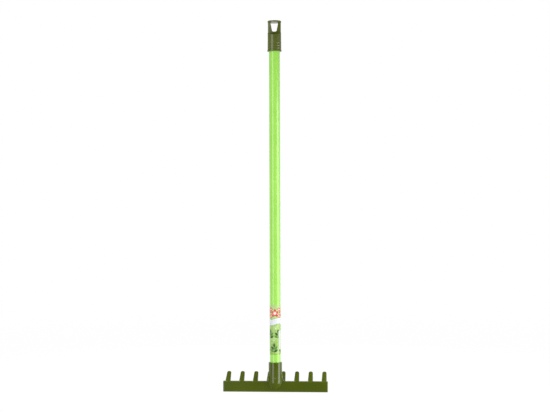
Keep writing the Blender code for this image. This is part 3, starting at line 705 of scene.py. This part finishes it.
def labelPrint(look, plan, low, high):
    # a plain garden print: red five-petal flowers over a waving pale ribbon, then leafy sprigs and a ruled
    # panel. Places are mm round the film, from its angle about the handle, and mm up from its lower edge.
    made, tree, shader = newMaterial("labelFilm")
    place = addNode(tree, "TexCoord").outputs["Object"]
    apart = addNode(tree, "SeparateXYZ", {"Vector": place})
    around = calc(tree, "ARCTAN2", apart.outputs["X"], calc(tree, "MULTIPLY", apart.outputs["Y"], -1.0))
    u = calc(tree, "MULTIPLY", around, plan["radius"])  # 0 at the front
    v = calc(tree, "SUBTRACT", calc(tree, "MULTIPLY", apart.outputs["Z"], 1 / mm), low)
    wide, height = 2 * math.pi * plan["radius"], high - low
    pitch = wide / plan["motifs"]

    def less(first, second):
        return calc(tree, "SUBTRACT", first, second)

    def magnitude(value):
        return calc(tree, "ABSOLUTE", value)

    def inside(distance, soft=plan["soft"]):
        return ranged(tree, distance, -soft, soft, 0, 1)

    def printed(colour, distance, tone):
        return mixColour(tree, inside(distance), colour, look[tone])

    def cells(shift, row):
        # distance from the nearest motif's middle, along and across; ten pitches keep the sum positive
        x = calc(tree, "ADD", u, shift * pitch + pitch / 2 + 10 * pitch)
        return less(calc(tree, "MODULO", x, pitch), pitch / 2), less(v, row)

    def radius(x, y):
        return calc(tree, "SQRT", calc(tree, "MULTIPLY_ADD", x, x, calc(tree, "MULTIPLY", y, y)))

    def flower(colour, row, shift, reach):
        # petals end at reach * (base + wave cos 5a), with a pale middle and thin dark lines between them
        x, y = cells(shift, row)
        r = radius(x, y)
        wave = calc(tree, "COSINE", calc(tree, "MULTIPLY", calc(tree, "ARCTAN2", x, y), plan["petals"]))
        rim = calc(tree, "MULTIPLY_ADD", wave, reach * plan["petalWave"], reach * plan["petalBase"])
        deep = ranged(tree, r, reach * plan["paleFrom"], reach * plan["petalBase"], 0, 1)
        tone = mixColour(tree, deep, look["petalPale"], look["petal"])
        vein = ranged(tree, wave, *plan["veinSpan"], plan["veinShare"], 0)
        tone = mixColour(tree, vein, tone, look["petal"])
        colour = mixColour(tree, inside(less(rim, r)), colour, tone)
        return printed(colour, less(reach * plan["heart"], r), "heart")

    def leaf(colour, x, y, degrees, length, tone):
        # between two arcs, width * (1 - (2 a / length - 1)^2) - |b|, from the stalk at a = 0,
        # with a pale midrib
        c, s = math.cos(math.radians(degrees)), math.sin(math.radians(degrees))
        a = calc(tree, "MULTIPLY_ADD", x, c, calc(tree, "MULTIPLY", y, s))
        b = magnitude(calc(tree, "MULTIPLY_ADD", x, -s, calc(tree, "MULTIPLY", y, c)))
        share = calc(tree, "MULTIPLY_ADD", a, 2 / length, -1.0)
        width = length * plan["leafBow"]
        bow = calc(tree, "MULTIPLY_ADD", calc(tree, "MULTIPLY", share, share), -width, width)
        body = inside(less(bow, b))
        rib = calc(tree, "MULTIPLY", body, inside(less(plan["midribHalf"], b), plan["midribSoft"]))
        colour = mixColour(tree, body, colour, look[tone])
        return mixColour(tree, calc(tree, "MULTIPLY", rib, plan["midribShare"]), colour, look["trim"])

    def sprig(colour, row, shift, length):
        # an upright stalk with leaves in pairs and one at the top
        x, y = cells(shift, row)
        along = less(length * plan["stalkReach"], magnitude(less(y, length * plan["stalkMiddle"])))
        stalk = calc(tree, "MINIMUM", less(plan["stalkHalf"], magnitude(x)), along)
        colour = printed(colour, stalk, "stem")
        for lift, angle, tone in plan["leaves"]:
            colour = leaf(colour, x, less(y, lift * length), angle, length, tone)
        return colour

    cloud = noise(tree, place, look["cloudScale"], 3.0)
    cloud = ranged(tree, cloud, *look["cloudSpan"], 0, look["cloudShare"], "SMOOTHSTEP")
    colour = mixColour(tree, ranged(tree, v, 0, height, 0, 1), look["groundLow"], look["groundHigh"])
    colour = mixColour(tree, cloud, colour, look["cloud"])
    for row, shift in plan["sprigs"]:
        colour = sprig(colour, row, shift, plan["sprigLength"])
    for row, shift in plan["dots"]:
        colour = printed(colour, less(plan["dotRadius"], radius(*cells(shift, row))), "dot")
    panel = [less(magnitude(less(way, middle)), half)
             for way, middle, half in zip((u, v), plan["panelMiddle"], plan["panelHalf"])]
    out = radius(*[calc(tree, "MAXIMUM", way, 0.0) for way in panel])
    colour = printed(colour, less(plan["panelTrim"], out), "trim")
    colour = printed(colour, less(plan["panelRound"], out), "panel")
    ruled = magnitude(less(calc(tree, "MODULO", v, plan["rulePitch"]), plan["rulePitch"] / 2))
    ruled = inside(less(plan["ruleHalf"], ruled), plan["ruleSoft"])  # plain rules to write on
    within = inside(less(-plan["ruleInset"], calc(tree, "MAXIMUM", *panel)))
    colour = mixColour(tree, calc(tree, "MULTIPLY", ruled, within), colour, look["rule"])
    sway = calc(tree, "SINE", calc(tree, "MULTIPLY", u, 2 * math.pi * plan["ribbonWaves"] / wide))
    gap = magnitude(less(v, calc(tree, "MULTIPLY_ADD", sway, plan["ribbonSway"], plan["ribbonRow"])))
    colour = printed(colour, less(plan["ribbonTrim"], gap), "trim")
    colour = printed(colour, less(plan["ribbonHalf"], gap), "ribbon")
    for row, shift, reach in plan["flowers"]:
        colour = flower(colour, row, shift, reach)
    tree.links.new(colour, shader.inputs["Base Color"])
    ripple = noise(tree, place, look["rippleScale"], 3.0)
    rough = ranged(tree, ripple, *middleSpan, look["roughLow"], look["roughHigh"])
    tree.links.new(rough, shader.inputs["Roughness"])
    tree.links.new(bump(tree, ripple, look["rippleBump"], look["rippleDepth"]), shader.inputs["Normal"])
    shader.inputs["IOR"].default_value = look["ior"]
    return made


labelLow, labelHigh = (corner.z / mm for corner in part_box("label"))
label = newObject("wrapLabel", gridMesh("wrapLabel", labelGrid(labelSize, labelLow, labelHigh)))
finishPiece(label, labelPrint(labelLook, labelPlan, labelLow, labelHigh), "label", 50)

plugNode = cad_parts["tube_plug"]  # hidden in the foot of the tube, so the CAD solid stays
plugNode.data.materials.clear()
plugNode.data.materials.append(mouldedPlastic("plugPlastic", plugLook))
print("pieces dressed")


# Studio

studio = dict(
    floorHalf=12.0, floorDrop=0.05, floorPaint=paint(246, 247, 247), floorShare=0.94, floorFade=(0.8, 2.2),
    fillLevel=0.5, fillTilt=-0.45, backLevel=1.0, backSpan=(0.75, 0.97),
    frontDim=0.03, frontSpan=(-0.35, 0.25), sideLow=1.0, sideHigh=0.3, sideSpan=(-0.16, 0.14),
    topDim=0.1, topSpan=(0.1, 0.5), lowDim=0.15, lowSpan=(-0.6, -0.2),
)
sideLamps = dict(  # angles are degrees from the camera's, positive to the right
    leftBox=dict(angle=-42, away=0.8, size=(0.48, 2.25), height=-0.125, power=6.5, mirrored=True),
    rightBox=dict(angle=66, away=0.7, size=(0.42, 1.2), height=-0.68, power=5.6, mirrored=True),
    backBox=dict(angle=180, away=0.8, size=(0.48, 2.25), height=-0.125, power=7.0, mirrored=False),
)
topLamp = dict(height=4.0, size=(1.6, 1.6), power=164)
cameraView = dict(turn=3.834, away=2.4285, height=0.3760, aside=0.00022, roll=-0.17,
                  focal=1200.0, width=550, sensor=36.0, clip=(0.01, 100))


def backgroundRay(tree):
    # 1 for camera rays, and 1 for all rays that see the background as it is: from the camera, by reflection
    # and through glass
    path = addNode(tree, "LightPath")
    straight = path.outputs["Is Camera Ray"]
    seen = calc(tree, "MAXIMUM", straight, path.outputs["Is Transmission Ray"])
    return straight, calc(tree, "MAXIMUM", seen, path.outputs["Is Glossy Ray"])


def whiteFloor(s):
    # white to the camera, with a little real shading near the object for its shadow
    made, tree, shader = newMaterial("paleFloor")
    seen = backgroundRay(tree)[1]
    out = shader.outputs["BSDF"].links[0].to_socket
    tree.nodes.remove(shader)
    place = addNode(tree, "TexCoord").outputs["Object"]
    matte = addNode(tree, "BsdfDiffuse", {"Color": s["floorPaint"]})
    glow = addNode(tree, "Emission", {"Color": (1, 1, 1, 1), "Strength": 1.0})
    reach = addNode(tree, "VectorMath", {0: place}, operation="LENGTH")
    share = ranged(tree, reach.outputs["Value"], *s["floorFade"], s["floorShare"], 1.0, "SMOOTHSTEP")
    both = addNode(tree, "MixShader", {0: calc(tree, "MULTIPLY", seen, share)})
    tree.links.new(matte.outputs[0], both.inputs[1])
    tree.links.new(glow.outputs[0], both.inputs[2])
    tree.links.new(both.outputs[0], out)
    return made


def studioWorld(s):
    # white for the camera; reflections see white behind the object and a dim room in front;
    # the rest is a soft fill, level + tilt * Z, stronger from below
    world = bpy.data.worlds.new("studioWorld")
    world.use_nodes = True
    world.cycles.sampling_method = "NONE"
    tree = world.node_tree
    tree.nodes.clear()
    straight, seen = backgroundRay(tree)
    way = addNode(tree, "SeparateXYZ", {"Vector": addNode(tree, "TexCoord").outputs["Generated"]})

    def eased(axis, span, first, last):
        return ranged(tree, way.outputs[axis], *span, first, last, "SMOOTHSTEP")

    side = eased("Z", s["sideSpan"], s["sideLow"], s["sideHigh"])
    mirror = eased("Y", s["frontSpan"], s["frontDim"], side)
    mirror = calc(tree, "MAXIMUM", mirror, eased("Y", s["backSpan"], 0.0, s["backLevel"]))
    mirror = calc(tree, "MULTIPLY", mirror, eased("Z", s["topSpan"], 1.0, s["topDim"]))
    mirror = calc(tree, "MULTIPLY", mirror, eased("Z", s["lowSpan"], s["lowDim"], 1.0))
    onlyGlossy = calc(tree, "SUBTRACT", seen, straight)
    level = calc(tree, "ADD", straight, calc(tree, "MULTIPLY", onlyGlossy, mirror))
    fill = calc(tree, "MULTIPLY_ADD", way.outputs["Z"], s["fillTilt"], s["fillLevel"])
    fill = calc(tree, "MULTIPLY", calc(tree, "SUBTRACT", 1.0, seen), fill)
    back = addNode(tree, "Background", {"Color": (1, 1, 1, 1), "Strength": calc(tree, "ADD", level, fill)})
    out = addNode(tree, "OutputWorld")
    tree.links.new(back.outputs[0], out.inputs["Surface"])
    scene.world = world


def softBox(name, place, turn, size, power, mirrored):
    # a plain rectangular lamp that the camera doesn't see, and reflections only if mirrored
    data = bpy.data.lights.new(name, "AREA")
    data.shape = "RECTANGLE"
    data.size, data.size_y = size
    data.energy = power
    lamp = bpy.data.objects.new(name, data)
    lamp.location, lamp.rotation_euler = place, turn
    lamp.visible_camera = False
    lamp.visible_glossy = mirrored
    scene.collection.objects.link(lamp)


def sideBox(name, azimuth, away, size, height, power, mirrored):
    # upright, facing the handle; azimuth is degrees from the front, positive to the right
    turn = math.radians(azimuth)
    place = (away * math.sin(turn), -away * math.cos(turn), height)
    softBox(name, place, (math.radians(90), 0, turn), size, power, mirrored)


floorGrid = np.array([[(x, y, 0) for x in (-1, 1)] for y in (-1, 1)], float) * studio["floorHalf"] / mm
floorGrid = floorGrid + [0, 0, footZ - studio["floorDrop"]]
floor = newObject("floor", gridMesh("floor", floorGrid, closeCols=False))
floor.data.materials.append(whiteFloor(studio))
floor.visible_diffuse = floor.visible_glossy = floor.visible_shadow = False  # lit from below too
studioWorld(studio)
for name, lamp in sideLamps.items():
    sideBox(name, cameraView["turn"] + lamp["angle"], lamp["away"], lamp["size"], lamp["height"],
            lamp["power"], lamp["mirrored"])
softBox("topBox", (0, 0, topLamp["height"]), (0, 0, 0), topLamp["size"], topLamp["power"], mirrored=False)


# Camera

cameraData = bpy.data.cameras.new("photoCamera")
cameraData.sensor_fit = "HORIZONTAL"
cameraData.sensor_width = cameraView["sensor"]
cameraData.lens = cameraView["focal"] / cameraView["width"] * cameraView["sensor"]
cameraData.clip_start, cameraData.clip_end = cameraView["clip"]
camera = bpy.data.objects.new("photoCamera", cameraData)
scene.collection.objects.link(camera)
cameraTurn = math.radians(cameraView["turn"])
sine, cosine = math.sin(cameraTurn), math.cos(cameraTurn)
camera.location = (cameraView["aside"] * cosine + cameraView["away"] * sine,
                   cameraView["aside"] * sine - cameraView["away"] * cosine,
                   footZ * mm + cameraView["height"])
camera.rotation_euler = (math.radians(90), math.radians(-cameraView["roll"]), cameraTurn)
scene.camera = camera
bpy.context.view_layer.update()
print("camera and light set")
